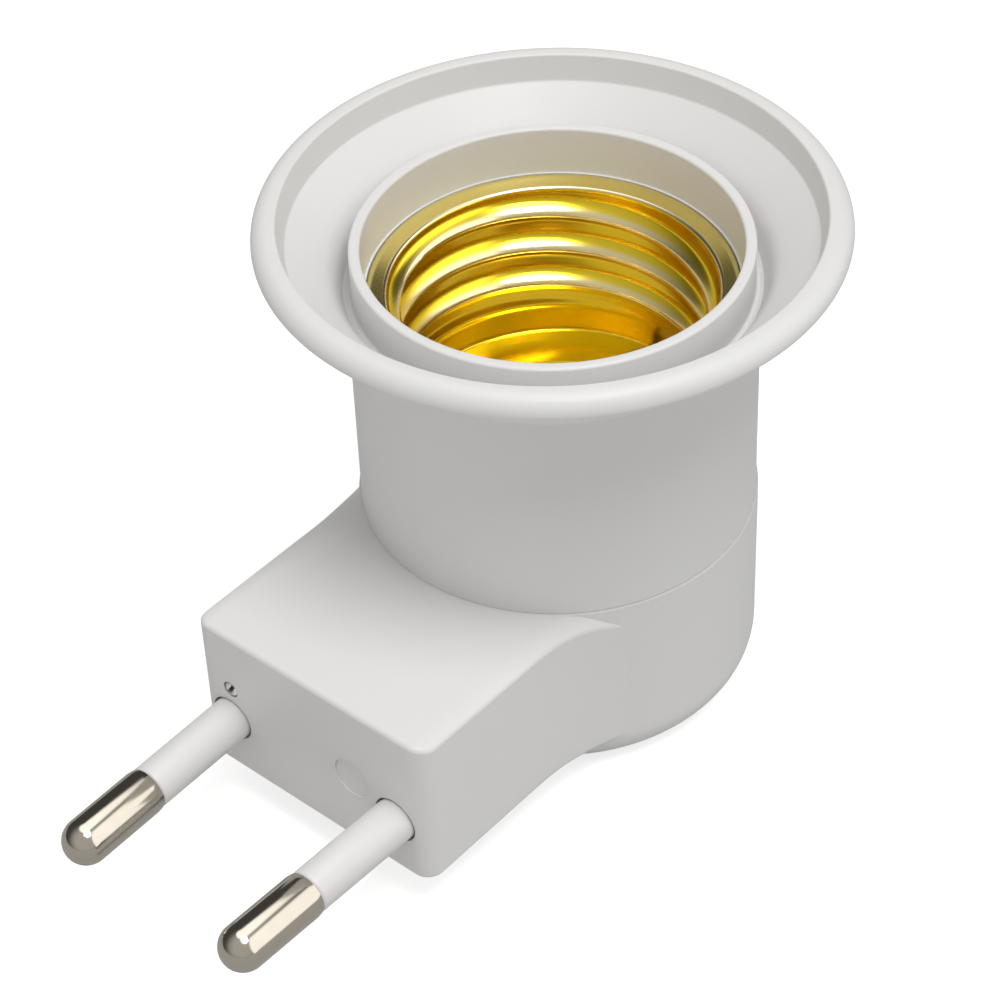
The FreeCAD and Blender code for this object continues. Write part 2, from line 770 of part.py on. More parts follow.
# Centre contact: a folded leaf riveted to the core's floor, and the button on its end
def build_center_contact():
    body = new_body("contact_leaf")
    low, sheet_top = core_floor, core_floor + size.leaf_sheet
    pad_underside = core_floor + size.leaf_rise
    pad_top = pad_underside + size.leaf_sheet
    steps = [
        (leaf_bend, low),
        (size.leaf_pad_half, pad_underside),
        (-size.leaf_pad_half, pad_underside),
        (-size.leaf_pad_half, pad_top),
        (size.leaf_pad_half + size.leaf_sheet / 2, pad_top),
        (leaf_bend + size.leaf_sheet / 2, sheet_top),
        (leaf_foot_end, sheet_top),
    ]
    sketch = outline(body, "leaf_fold", "YZ_Plane", (leaf_foot_end, low), steps)
    pad(body, sketch, size.leaf_width, middle=True)
    doc.recompute()
    hole = disc_outline(body, "leaf_hole", rivet_hole_radius, 0, contact_rivet_distance, low)
    pocket(body, hole, size.leaf_sheet, up=True)
    keep(body, "contact_leaf")

    tip_bottom = pad_top + size.tip_gap
    flank = tip_bottom + size.tip_thickness - size.tip_crown
    radius, crown = size.tip_radius, size.tip_crown
    crown_radius = (radius * radius + crown * crown) / (2 * crown)
    crown_centre = flank + size.tip_crown - crown_radius
    steps = [
        (size.tip_radius, tip_bottom),
        (size.tip_radius, flank),
        (as_size(0), flank + size.tip_crown, as_size(0), crown_centre, 1),
    ]
    keep(turned("contact_tip", (as_size(0), tip_bottom), steps), "contact_tip")


# Rivets: a shank with a domed head above and a spread tail below
def build_rivet(label, along, top, bottom):
    head, radius, rise = size.rivet_head_radius, size.rivet_radius, size.rivet_head_height
    steps = [
        (head, bottom - rise / 2),
        (head, bottom),
        (radius, bottom),
        (radius, top),
        (head, top),
        (head, top + rise / 2),
        (head - rise / 2, top + rise),
        (as_size(0), top + rise),
        (as_size(0), bottom - rise),
    ]
    body = turned(label, (head - rise / 2, bottom - rise), steps)
    put(body, 0, along, 0)
    keep(body, label)


# Tags: strips under the core's floor with a leg that takes a wire
def build_tag(label, rivet_along, leg_along):
    """A strip from beyond its rivet to a leg that hangs down"""
    body = new_body(label)
    top, low = core_underside, core_underside - size.tag_sheet
    outer = rivet_along - size.tag_overhang
    inner_leg = leg_along - size.tag_sheet
    steps = [
        (outer, low),
        (inner_leg, low),
        (inner_leg, tag_foot),
        (leg_along, tag_foot),
        (leg_along, top),
    ]
    sketch = outline(body, label + "_fold", "YZ_Plane", (outer, top), steps)
    pad(body, sketch, size.tag_width, middle=True)
    doc.recompute()
    hole = disc_outline(body, label + "_hole", rivet_hole_radius, 0, rivet_along, low)
    pocket(body, hole, size.tag_sheet, up=True)
    keep(body, label)


def build_socket_metal():
    tag_low = core_underside - size.tag_sheet
    places = rivet_places()
    build_rivet("contact_rivet", places["contact"], core_floor + size.leaf_sheet, tag_low)
    build_rivet("shell_rivet_front", places["front"], shell_floor_top, tag_low)
    build_rivet("shell_rivet_rear", places["rear"], shell_floor_top, core_underside)
    build_tag("live_tag", places["contact"], live_tag_leg)
    build_tag("neutral_tag", places["front"], size.tag_sheet - neutral_tag_leg)


# Mains pins, each a turned pin in an insulating sleeve with a flange behind the plug face
def build_pin(label, side):
    root, tip = size.pin_sleeve_length, size.pin_length
    dome = tip - size.pin_radius
    cup_floor = size.solder_cup_depth - size.pin_tail
    steps = [
        (size.solder_cup_radius, cup_floor),
        (size.solder_cup_radius, -size.pin_tail),
        (size.pin_core_radius, -size.pin_tail),
        (size.pin_core_radius, root),
        (size.pin_sleeve_radius, root),
        (size.pin_radius, root + size.pin_shoulder_length),
        (size.pin_radius, dome),
        (as_size(0), tip, as_size(0), dome, 1),
    ]
    pin = turned("pin_" + label, (as_size(0), cup_floor), steps)
    on_pin_axis(pin, side)
    keep(pin, "pin_" + label)

    sleeve_bore = size.pin_core_radius + size.pin_core_clearance
    flange_front = -(size.housing_wall + size.pin_flange_gap)
    flange_back = flange_front - size.pin_flange_thickness
    steps = [
        (size.pin_sleeve_radius, -size.pin_sleeve_tail),
        (size.pin_sleeve_radius, flange_back),
        (size.pin_flange_radius, flange_back),
        (size.pin_flange_radius, flange_front),
        (size.pin_sleeve_radius, flange_front),
        (size.pin_sleeve_radius, root),
        (sleeve_bore, root),
    ]
    sleeve = turned("pin_sleeve_" + label, (sleeve_bore, -size.pin_sleeve_tail), steps)
    on_pin_axis(sleeve, side)
    keep(sleeve, "pin_sleeve_" + label)


# Screws: a pan head, a plain shank as wide as its thread, and a blunt point
def build_screw(label, head_radius, head_height, shank_radius, length, point, slots):
    steps = [
        (head_radius, as_size(0)),
        (shank_radius, as_size(0)),
        (shank_radius, length - point),
        (shank_radius / 2, length),
        (as_size(0), length),
        (as_size(0), -head_height),
        (head_radius - head_height / 3, -head_height),
    ]
    body = turned(label, (head_radius, -head_height * 2 / 3), steps)
    half, reach = size.slot_width / 2, head_radius * 2 / 3
    corners = [(reach, -half), (reach, half), (-reach, half)]
    depth = larger(head_height - size.slot_depth, head_height / 3)
    depth = head_height - depth
    for index in range(slots):
        if index:
            corners = [(half, -reach), (half, reach), (-half, reach)]
        start = (-reach, -half) if not index else (-half, -reach)
        sketch = outline(body, label + "_slot_" + str(index), "XY_Plane", start, corners, -head_height)
        pocket(body, sketch, depth, up=True)
    return keep(body, label)


def build_screws():
    head, rise = size.screw_head_radius, size.screw_head_height
    for place, (x, y) in cover_screw_places.items():
        screw = build_screw("cover_screw_" + place, head, rise, size.screw_radius,
                            size.cover_screw_length, size.screw_point, 2)
        put(screw, x, y, size.screw_seat_height)
    for label, side in (("left", -1), ("right", 1)):
        screw = build_screw("core_screw_" + label, head, rise, size.screw_radius,
                            size.core_screw_length, size.screw_point, 2)
        put(screw, side * core_screw_distance, 0, shelf_bottom)
    screw = build_screw("face_screw", size.face_screw_radius, size.face_screw_head,
                        size.face_screw_shank_radius, size.face_screw_length,
                        size.face_screw_shank_radius / 2, 1)
    across = FreeCAD.Rotation(FreeCAD.Vector(1, 0, 0), -90)
    screw.Placement = FreeCAD.Placement(FreeCAD.Vector(0, 0, 0), across)
    put(screw, face_screw_x, size.face_screw_head - size.arm_reach, face_screw_z)


# Share of a wire's first or last run, and of a run between two bends, that one bend may take
END_RUN_SHARE = 0.8
MIDDLE_RUN_SHARE = 0.45


# Wires from the pins to the tags, each a tube along straight runs joined by arcs
def wire_path(points):
    """Straight runs joined by tangent arcs as large as the runs leave room for"""
    edges = []
    start = points[0]
    last = len(points) - 2
    for index, (before, corner, after) in enumerate(zip(points, points[1:], points[2:])):
        back, ahead = before - corner, after - corner
        room = min(back.Length * (END_RUN_SHARE if index == 0 else MIDDLE_RUN_SHARE),
                   ahead.Length * (END_RUN_SHARE if index + 1 == last else MIDDLE_RUN_SHARE))
        turn = math.pi - back.getAngle(ahead)
        radius = room / math.tan(turn / 2)
        back.normalize()
        ahead.normalize()
        enter, leave = corner + back * room, corner + ahead * room
        inward = (back + ahead).normalize()
        middle = corner + inward * (radius / math.cos(turn / 2) - radius)
        edges.append(Part.LineSegment(start, enter).toShape())
        edges.append(Part.Arc(enter, middle, leave).toShape())
        start = leave
    edges.append(Part.LineSegment(start, points[-1]).toShape())
    return Part.Wire(edges)


def build_wire(label, points):
    circle = Part.Circle(points[0], points[1] - points[0], size.wire_radius.value)
    thing = doc.addObject("Part::Feature", label)
    thing.Shape = wire_path(points).makePipeShell([Part.Wire(circle.toShape())], True, False)
    thing.Placement = FreeCAD.Placement()
    keep(thing, label)


def beside_pin(side, depth):
    """A point on a pin's axis, this far inside the plug face"""
    middle = FreeCAD.Vector(side * size.pin_root_spacing.value / 2, -size.arm_reach.value,
                            size.parting_height.value)
    return middle + pin_side(side).multVec(FreeCAD.Vector(0, 0, -depth))


def build_wires():
    tail, end = size.pin_tail.value, (tag_foot + size.wire_rise).value
    run = size.wire_end_run.value
    leg = (live_tag_leg - size.tag_sheet).value
    build_wire("live_wire", [
        beside_pin(-1, tail),
        beside_pin(-1, tail + size.live_wire_run.value),
        FreeCAD.Vector(-size.live_wire_side.value, -size.live_wire_front.value,
                       (size.parting_height + size.live_wire_lift).value),
        FreeCAD.Vector(0, leg - run, end),
        FreeCAD.Vector(0, leg, end),
    ])
    leg = -neutral_tag_leg.value
    build_wire("neutral_wire", [
        beside_pin(1, tail),
        beside_pin(1, tail + size.neutral_wire_run.value),
        FreeCAD.Vector(0, leg - run, end),
        FreeCAD.Vector(0, leg, end),
    ])


def check_and_export():
    doc.recompute()
    for thing in doc.Objects:
        if "Invalid" in thing.State or "Error" in thing.State:
            raise ValueError(thing.Label + " did not build: " + str(thing.State))
        if hasattr(thing, "Shape") and not thing.Shape.isNull() and not thing.Shape.isValid():
            raise ValueError(thing.Label + " has a faulty shape")
    os.makedirs("parts", exist_ok=True)
    for thing in parts:
        if thing.Shape.isNull() or not thing.Shape.isValid():
            raise ValueError(thing.Label + " is not a valid solid")
        thing.Shape.exportStep("parts/" + thing.Label + ".step")
        print(thing.Label, len(thing.Shape.Solids), "solid", round(thing.Shape.Volume, 1), "mm3")


build_housing()
build_bell_sleeve()
build_socket_core()
build_screw_shell()
build_center_contact()
build_socket_metal()
build_pin("left", -1)
build_pin("right", 1)
build_screws()
build_wires()
check_and_export()
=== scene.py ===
import json
import math
import bmesh
import bpy
from mathutils import Matrix, Vector


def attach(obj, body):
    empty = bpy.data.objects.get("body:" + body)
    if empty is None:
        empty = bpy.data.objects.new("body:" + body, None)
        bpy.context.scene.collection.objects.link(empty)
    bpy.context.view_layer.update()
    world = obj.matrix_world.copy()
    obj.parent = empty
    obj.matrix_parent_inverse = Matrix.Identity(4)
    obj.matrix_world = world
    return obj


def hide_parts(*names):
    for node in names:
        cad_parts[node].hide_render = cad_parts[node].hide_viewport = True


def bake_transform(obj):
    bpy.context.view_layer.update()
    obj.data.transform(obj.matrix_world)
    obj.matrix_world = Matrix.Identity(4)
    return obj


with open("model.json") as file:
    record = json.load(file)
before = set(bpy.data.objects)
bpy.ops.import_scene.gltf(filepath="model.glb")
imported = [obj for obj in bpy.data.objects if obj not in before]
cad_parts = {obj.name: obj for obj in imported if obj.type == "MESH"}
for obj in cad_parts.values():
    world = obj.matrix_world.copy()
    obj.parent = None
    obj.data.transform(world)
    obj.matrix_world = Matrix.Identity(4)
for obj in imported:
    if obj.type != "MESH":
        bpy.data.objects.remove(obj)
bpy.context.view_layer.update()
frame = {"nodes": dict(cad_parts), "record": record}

# Lengths are millimetres here and become metres when a mesh is made
MM = 0.001
NODES = frame["nodes"]

# Bell, ring and sleeve: radii from the lamp axis, heights above the drum's underside
SLEEVE_R, RIM_R, LIP_IN_R = 16.65, 23.76, 21.7
LIP_TOP, LIP_UNDER, BELL_START = 46.8, 44.9, 39.0
STEP_R, STEP_HEIGHT = 21.2, 44.75
RING_TOP, RING_BORE_R, RING_OUT_R = 43.75, 15.27, 16.2
HOUSING_TOP, SHELF_TOP, CORE_BOTTOM = 18.7, 17.2, 19.4
WIRE_HOLE_R, SPIGOT_R, SEAT_R = 9.5, 14.85, 15.09
LIP_ROUND, UNDER_ROUND, LIP_EDGE_ROUND, STEP_ROUND, RING_ROUND = 1.4, 0.45, 0.2, 0.35, 0.25
SLEEVE_CHAMFER = 0.05

# The trough round the ring, from the funnel's foot to the ring's, as (radius, height)
TROUGH = [(18.2, 42.28), (17.7, 41.75), (17.3, 41.1), (17.0, 40.3), (16.8, 39.9), (16.5, 39.75),
          (16.3, 39.78), (RING_OUT_R, 39.9)]

# Gold screw shell and its thread
SHELL_FLANGE_TOP, SHELL_FLANGE_R = 39.4, 14.97
SHELL_FLOOR, FLOOR_HOLE_R, SHEET = 23.8, 9.0, 0.3
FLANGE_CHAMFER, FLANGE_FLAT, FLANGE_DROP = 0.06, 0.5, 0.1
MOUTH_ROUND, FLOOR_ROUND = 0.35, 0.3
THREAD_ROOT_R, THREAD_CREST_R, PITCH = 13.35, 12.25, 3.63
CREST_SHARPNESS = 2.4
TOP_CREST_ANGLE, TOP_CREST_HEIGHT = 132.65, 37.1
THREAD_START, START_FADE = SHELL_FLANGE_TOP - 0.6, 1.05
THREAD_END, END_FADE = 26.4, 1.6

# Pins and their sleeves: heights along a pin's own axis, from the plug face outwards
PIN_LEVEL, FACE_Y = 9.2, -31.5
PIN_SPACING, TIP_SPACING = 18.0, 17.2
PIN_R, PIN_LENGTH = 2.0, 19.0
STEM_R, PIN_BACK = 1.4, -9.0
CUP_R, CUP_FLOOR = 0.8, -6.0
PIN_SLEEVE_R, PIN_SLEEVE_BORE_R = 1.9, 1.42
PIN_SLEEVE_BACK, PIN_SLEEVE_END = -5.6, 10.0
COLLAR_R, COLLAR_BACK, COLLAR_FRONT = 2.7, -3.52, -2.02

# Face screw over the left pin: its place, its sizes and its slot's turn in degrees
SCREW_X, SCREW_RISE = -8.8, 3.4
SCREW_LENGTH, SHANK_R, SHANK_END_R = 1.3, 0.45, 0.22
HEAD_R, HEAD_DEPTH = 0.75, 0.5
HEAD_DOME = [(HEAD_R, -0.3), (0.72, -0.17), (0.62, -0.07), (0.48, -0.02), (0, 0)]
SLOT_HALF_LENGTH, SLOT_HALF_WIDTH, SLOT_DEPTH, SLOT_TURN = 0.9, 0.19, 0.45, 61

# How finely the pieces are divided round their axes, and the shell down its barrel
BELL_STEPS, SHELL_STEPS, PIN_STEPS, SCREW_STEPS = 256, 180, 96, 64
BARREL_ROWS = 110


# Mesh making
def finish_mesh(name, verts, faces, sharp=32.0):
    """A smooth-shaded mesh object in metres; edges sharper than the angle stay hard"""
    mesh = bpy.data.meshes.new(name)
    mesh.from_pydata([(x * MM, y * MM, z * MM) for x, y, z in verts], [], faces)
    obj = bpy.data.objects.new(name, mesh)
    bpy.context.scene.collection.objects.link(obj)
    smooth_by_angle(obj, sharp)
    return obj


def smooth_by_angle(obj, degrees, merge=1e-7):
    """Welds the mesh, points its faces outwards and marks its hard edges"""
    form = bmesh.new()
    form.from_mesh(obj.data)
    bmesh.ops.remove_doubles(form, verts=form.verts, dist=merge)
    bmesh.ops.recalc_face_normals(form, faces=form.faces)
    limit = math.radians(degrees)
    for face in form.faces:
        face.smooth = True
    for edge in form.edges:
        edge.smooth = len(edge.link_faces) == 2 and edge.calc_face_angle(0) < limit
    form.to_mesh(obj.data)
    form.free()


def arc(cx, cy, radius, start, end, steps):
    """Points on an arc in the profile plane, angles in degrees from the r axis"""
    points = []
    for index in range(steps + 1):
        angle = math.radians(start + (end - start) * index / steps)
        points.append((cx + radius * math.cos(angle), cy + radius * math.sin(angle)))
    return points


def turned(name, section, steps, sharp=32.0):
    """A closed section turned about Z; section gives its (radius, height) points at an angle"""
    verts, faces = [], []
    for step in range(steps):
        angle = 2 * math.pi * step / steps
        ring = section(angle)
        c, s = math.cos(angle), math.sin(angle)
        verts += [(radius * c, radius * s, height) for radius, height in ring]
    count = len(ring)
    on_axis = [radius < 1e-9 for radius, height in ring]
    for step in range(steps):
        here, there = step * count, (step + 1) % steps * count
        for index in range(count):
            following = (index + 1) % count
            loop = [here + index, there + index, there + following, here + following]
            if on_axis[index] and on_axis[following]:
                continue
            if on_axis[index]:
                loop = [loop[0], loop[2], loop[3]]
            elif on_axis[following]:
                loop = loop[:3]
            faces.append(loop)
    return finish_mesh(name, verts, faces, sharp)


def lathe(name, profile, steps):
    """A closed profile of (radius, height) points turned about Z"""
    return turned(name, lambda angle: profile, steps)


# Shader nodes, and the openness at which the painted crease shade is deepest and at which it ends
CREASE_SAMPLES, CREASE_CLOSED, CREASE_OPEN = 6, 0.15, 0.85


def new_material(name):
    material = bpy.data.materials.new(name)
    material.use_nodes = True
    tree = material.node_tree
    return material, tree, tree.nodes["Principled BSDF"]


def object_coordinates(tree, scale=(1, 1, 1)):
    coordinates = tree.nodes.new("ShaderNodeTexCoord")
    mapping = tree.nodes.new("ShaderNodeMapping")
    mapping.inputs["Scale"].default_value = scale
    tree.links.new(coordinates.outputs["Object"], mapping.inputs["Vector"])
    return mapping.outputs["Vector"]


def noise(tree, vector, scale, detail, roughness=0.5):
    """Noise with about scale features to a metre"""
    node = tree.nodes.new("ShaderNodeTexNoise")
    node.inputs["Scale"].default_value = scale
    node.inputs["Detail"].default_value = detail
    node.inputs["Roughness"].default_value = roughness
    tree.links.new(vector, node.inputs["Vector"])
    return node.outputs["Fac"]


def ramp(tree, factor, stops):
    """Colour from stops of (place from 0 to 1, colour)"""
    node = tree.nodes.new("ShaderNodeValToRGB")
    elements = node.color_ramp.elements
    for index, (place, color) in enumerate(stops):
        element = elements[index] if index < 2 else elements.new(place)
        element.position = place
        element.color = (*color, 1)
    tree.links.new(factor, node.inputs["Fac"])
    return node.outputs["Color"]


def spread(tree, value, low, high, start=0.0, end=1.0, blend="LINEAR"):
    """Low where the value is at or below start, high at or above end, and blended between"""
    node = tree.nodes.new("ShaderNodeMapRange")
    node.interpolation_type = blend
    node.inputs["From Min"].default_value = start
    node.inputs["From Max"].default_value = end
    node.inputs["To Min"].default_value = low
    node.inputs["To Max"].default_value = high
    tree.links.new(value, node.inputs["Value"])
    return node.outputs["Result"]


def product(tree, first, second):
    node = tree.nodes.new("ShaderNodeVectorMath")
    node.operation = "MULTIPLY"
    tree.links.new(first, node.inputs[0])
    tree.links.new(second, node.inputs[1])
    return node.outputs["Vector"]


def combine(tree, operation, *values):
    """One step of arithmetic on values, each a number or another node's output"""
    node = tree.nodes.new("ShaderNodeMath")
    node.operation = operation
    for index, value in enumerate(values):
        if isinstance(value, (int, float)):
            node.inputs[index].default_value = value
        else:
            tree.links.new(value, node.inputs[index])
    return node.outputs["Value"]


def bump(tree, height, strength, distance, before=None):
    node = tree.nodes.new("ShaderNodeBump")
    node.inputs["Strength"].default_value = strength
    node.inputs["Distance"].default_value = distance
    tree.links.new(height, node.inputs["Height"])
    if before is not None:
        tree.links.new(before, node.inputs["Normal"])
    return node.outputs["Normal"]


def painted_crease_shade(tree, color, deepest, reach):
    """Painted shade: the colour darkened in narrow gaps and inside corners, down to the deepest
    share of it
    """
    crease = tree.nodes.new("ShaderNodeAmbientOcclusion")
    crease.samples = CREASE_SAMPLES
    crease.inputs["Distance"].default_value = reach * MM
    depth = spread(tree, crease.outputs["AO"], deepest, 1.0, CREASE_CLOSED, CREASE_OPEN)
    return product(tree, color, depth)


def by_height(tree, low, high, below, above):
    """Blends from one colour, at the low height and under, to another, at the high one and over;
    the upper one is another node's output"""
    parts = tree.nodes.new("ShaderNodeSeparateXYZ")
    tree.links.new(object_coordinates(tree), parts.inputs["Vector"])
    share = spread(tree, parts.outputs["Z"], 0.0, 1.0, start=low * MM, end=high * MM)
    blend = tree.nodes.new("ShaderNodeMix")
    blend.data_type = "RGBA"
    tree.links.new(share, blend.inputs["Factor"])
    first, second = [socket for socket in blend.inputs if socket.type == "RGBA"]
    first.default_value = (*below, 1)
    tree.links.new(above, second)
    return [socket for socket in blend.outputs if socket.type == "RGBA"][0]


def by_radius(tree, stops):
    """Colour by distance from the lamp axis, from stops of (radius, colour)"""
    inner, outer = stops[0][0], stops[-1][0]
    length = tree.nodes.new("ShaderNodeVectorMath")
    length.operation = "LENGTH"
    tree.links.new(object_coordinates(tree, (1, 1, 0)), length.inputs[0])
    share = spread(tree, length.outputs["Value"], 0.0, 1.0, start=inner * MM, end=outer * MM)
    placed = [((radius - inner) / (outer - inner), color) for radius, color in stops]
    return ramp(tree, share, placed)


# Moulded plastic
# Painted shade in the plastic's narrow gaps and inside corners: its deepest share of the colour,
# and its reach in mm
PLASTIC_CREASE_SHADE, PLASTIC_CREASE_REACH = 0.86, 5.0
CLOUD_SCALE, GLOSS_SCALE, PEEL_SCALE, GRAIN_SCALE = 45.0, 160.0, 700.0, 6000.0
PEEL_STRENGTH, PEEL_HEIGHT = 0.10, 0.03
GRAIN_STRENGTH, GRAIN_HEIGHT = 0.04, 0.006
PLASTIC_IOR = 1.49


def plastic(name, light, dark, rough):
    """Faint flow clouds in the colour and the gloss, painted shade in narrow gaps and inside
    corners, and a fine orange-peel surface
    """
    material, tree, shader = new_material(name)
    vector = object_coordinates(tree)
    clouds = ramp(tree, noise(tree, vector, CLOUD_SCALE, 2.0), [(0.2, dark), (0.8, light)])
    # Painted shade: the cloud colour darkened in gaps and inside corners
    shade = painted_crease_shade(tree, clouds, PLASTIC_CREASE_SHADE, PLASTIC_CREASE_REACH)
    tree.links.new(shade, shader.inputs["Base Color"])
    gloss = spread(tree, noise(tree, vector, GLOSS_SCALE, 2.0), *rough)
    tree.links.new(gloss, shader.inputs["Roughness"])
    peel = bump(tree, noise(tree, vector, PEEL_SCALE, 1.0), PEEL_STRENGTH, PEEL_HEIGHT * MM)
    grain = noise(tree, vector, GRAIN_SCALE, 1.0)
    surface = bump(tree, grain, GRAIN_STRENGTH, GRAIN_HEIGHT * MM, before=peel)
    tree.links.new(surface, shader.inputs["Normal"])
    shader.inputs["IOR"].default_value = PLASTIC_IOR
    return material


WHITE = plastic("moulded_white", (0.84, 0.835, 0.825), (0.825, 0.82, 0.81), rough=(0.40, 0.48))
SLEEVE_WHITE = plastic("sleeve_white", (0.85, 0.845, 0.835), (0.83, 0.825, 0.815),
                       rough=(0.26, 0.34))
CORE_WHITE = plastic("core_white", (0.76, 0.75, 0.71), (0.70, 0.69, 0.65), rough=(0.40, 0.55))
BROWN = plastic("wire_brown", (0.16, 0.07, 0.03), (0.12, 0.05, 0.02), rough=(0.35, 0.5))
BLUE = plastic("wire_blue", (0.04, 0.10, 0.32), (0.03, 0.08, 0.26), rough=(0.35, 0.5))


# Sheet and turned metal
METAL_CREASE_REACH = 0.8
METAL_CLOUD_SCALE, LINE_SCALE, LINE_HEIGHT = 180.0, 900.0, 0.02
COAT_ROUGHNESS = 0.12

# Painted highlights: the gold is palest on the thread's crests, on the roll at the mouth and on the
# flange
DEEP_GOLD = (0.97, 0.73, 0.03)
GOLD_AND_HIGHLIGHTS_BY_RADIUS = [(12.24, (1.0, 0.88, 0.56)), (12.50, (1.0, 0.84, 0.42)), (12.85, DEEP_GOLD),
                  (13.40, (0.96, 0.68, 0.02)), (13.46, (0.92, 0.80, 0.50)),
                  (13.66, (0.95, 0.84, 0.55)), (13.78, (1.0, 0.82, 0.24)),
                  (SHELL_FLANGE_R, (1.0, 0.86, 0.34))]
DEEP_GOLD_TOP, BARREL_GOLD_BOTTOM = 25.0, 26.5


def gold_with_painted_highlights(tree):
    """Deep gold on the shell's floor, and gold by radius with painted highlights on its barrel and
    flange
    """
    # Painted highlights: pale gold on the crests, the mouth's roll and the flange
    highlighted = by_radius(tree, GOLD_AND_HIGHLIGHTS_BY_RADIUS)
    return by_height(tree, DEEP_GOLD_TOP, BARREL_GOLD_BOTTOM, DEEP_GOLD, highlighted)


def metal(name, dark, light, rough, stretch, marks=0.2, coat=0.0, tint=None, painted_shade_depth=None):
    """Bright metal with fine lines, long where stretch is small; painted shade darkens its creases
    """
    material, tree, shader = new_material(name)
    shader.inputs["Metallic"].default_value = 1.0
    shader.inputs["Coat Weight"].default_value = coat
    shader.inputs["Coat Roughness"].default_value = COAT_ROUGHNESS
    clouds = noise(tree, object_coordinates(tree), METAL_CLOUD_SCALE, 3.0)
    color = ramp(tree, clouds, [(0.3, dark), (0.7, light)])
    # Painted shade: the colour darkened in creases, down to the given share
    if painted_shade_depth is not None:
        color = painted_crease_shade(tree, color, painted_shade_depth, METAL_CREASE_REACH)
    if tint is not None:
        color = product(tree, color, tint(tree))
    tree.links.new(color, shader.inputs["Base Color"])
    lines = noise(tree, object_coordinates(tree, stretch), LINE_SCALE, 4.0, 0.6)
    tree.links.new(spread(tree, lines, *rough), shader.inputs["Roughness"])
    tree.links.new(bump(tree, lines, marks, LINE_HEIGHT * MM), shader.inputs["Normal"])
    return material


GOLD = metal("gold_sheet", (0.92, 0.92, 0.92), (1.0, 1.0, 1.0), rough=(0.15, 0.24),
             stretch=(0.05, 0.05, 1.0), coat=0.4, tint=gold_with_painted_highlights)
BRASS = metal("spring_brass", (0.68, 0.50, 0.22), (0.80, 0.62, 0.32), rough=(0.22, 0.40),
              stretch=(1.0, 0.1, 1.0))
# The screw's slot and edges carry painted shade, down to 0.04 of their colour
SCREW_NICKEL = metal("screw_nickel", (0.88, 0.87, 0.84), (0.94, 0.93, 0.90), rough=(0.30, 0.45),
                     stretch=(1.0, 1.0, 0.2), marks=0.3, painted_shade_depth=0.04)
NICKEL = metal("pin_nickel", (0.56, 0.51, 0.43), (0.66, 0.61, 0.53), rough=(0.08, 0.18),
               stretch=(1.0, 1.0, 0.15), marks=0.1)
STEEL = metal("screw_steel", (0.50, 0.50, 0.50), (0.62, 0.62, 0.62), rough=(0.25, 0.45),
              stretch=(1.0, 1.0, 0.2))
SLOTS = {
    "shell_white": WHITE,
    "core_white": CORE_WHITE,
    "shell_gold": GOLD,
    "spring_brass": BRASS,
    "pin_nickel": NICKEL,
    "pin_insulation": SLEEVE_WHITE,
    "screw_steel": STEEL,
    "wire_brown": BROWN,
    "wire_blue": BLUE,
}


def wear(obj, material):
    """Gives the object one material"""
    obj.data.materials.clear()
    obj.data.materials.append(material)
    return obj


node_slots = {entry["node"]: entry["material_slot"] for entry in frame["record"]["subparts"]}
for node_name, node in NODES.items():
    wear(node, SLOTS[node_slots[node_name]])

# The two housing halves are shaded by their meshes' own normals all over
for name in ("upper_housing", "base_cover"):
    NODES[name].data.polygons.foreach_set("use_smooth", [True] * len(NODES[name].data.polygons))


# Bell, inner ring and sleeve as one fine moulding
def bell_profile():
    crown, under = RIM_R - LIP_ROUND, RIM_R - UNDER_ROUND
    points = [(WIRE_HOLE_R, SHELF_TOP), (SPIGOT_R, SHELF_TOP), (SPIGOT_R, HOUSING_TOP)]
    points += [(SLEEVE_R - SLEEVE_CHAMFER, HOUSING_TOP), (SLEEVE_R, HOUSING_TOP + SLEEVE_CHAMFER)]
    # The sleeve turns into the funnel's outside, which ends under the lip
    points += [(SLEEVE_R, BELL_START - 0.4), (SLEEVE_R + 0.05, BELL_START - 0.22)]
    points += [(SLEEVE_R + 0.2, BELL_START), (under - 0.4, LIP_UNDER)]
    points += arc(under, LIP_UNDER + UNDER_ROUND, UNDER_ROUND, -90, 0, 8)
    points += arc(crown, LIP_TOP - LIP_ROUND, LIP_ROUND, 0, 90, 16)
    points += arc(LIP_IN_R + LIP_EDGE_ROUND, LIP_TOP - LIP_EDGE_ROUND, LIP_EDGE_ROUND, 90, 180, 6)
    points += arc(STEP_R - STEP_ROUND, STEP_HEIGHT, STEP_ROUND, 0, -52, 5)
    points += TROUGH
    points += arc(RING_OUT_R - RING_ROUND, RING_TOP - RING_ROUND, RING_ROUND, 0, 90, 6)
    points += arc(RING_BORE_R + RING_ROUND, RING_TOP - RING_ROUND, RING_ROUND, 90, 180, 6)
    points += [(RING_BORE_R, SHELL_FLANGE_TOP), (SEAT_R, SHELL_FLANGE_TOP)]
    points += [(SEAT_R, CORE_BOTTOM), (WIRE_HOLE_R, CORE_BOTTOM)]
    return points


bell = lathe("bell_sleeve_moulding", bell_profile(), BELL_STEPS)
wear(bell, WHITE)
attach(bell, "holder")
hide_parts("bell_sleeve")


# Gold screw shell with a true helical thread
def thread_depth(offset):
    """Share of the way from root to crest, at a height offset from the crest in pitches:
    a narrow rounded crest between wide roots"""
    return (0.5 + 0.5 * math.cos(2 * math.pi * offset)) ** CREST_SHARPNESS


def eased(value):
    """The value held between 0 and 1, with soft ends"""
    value = min(max(value, 0.0), 1.0)
    return value * value * (3 - 2 * value)


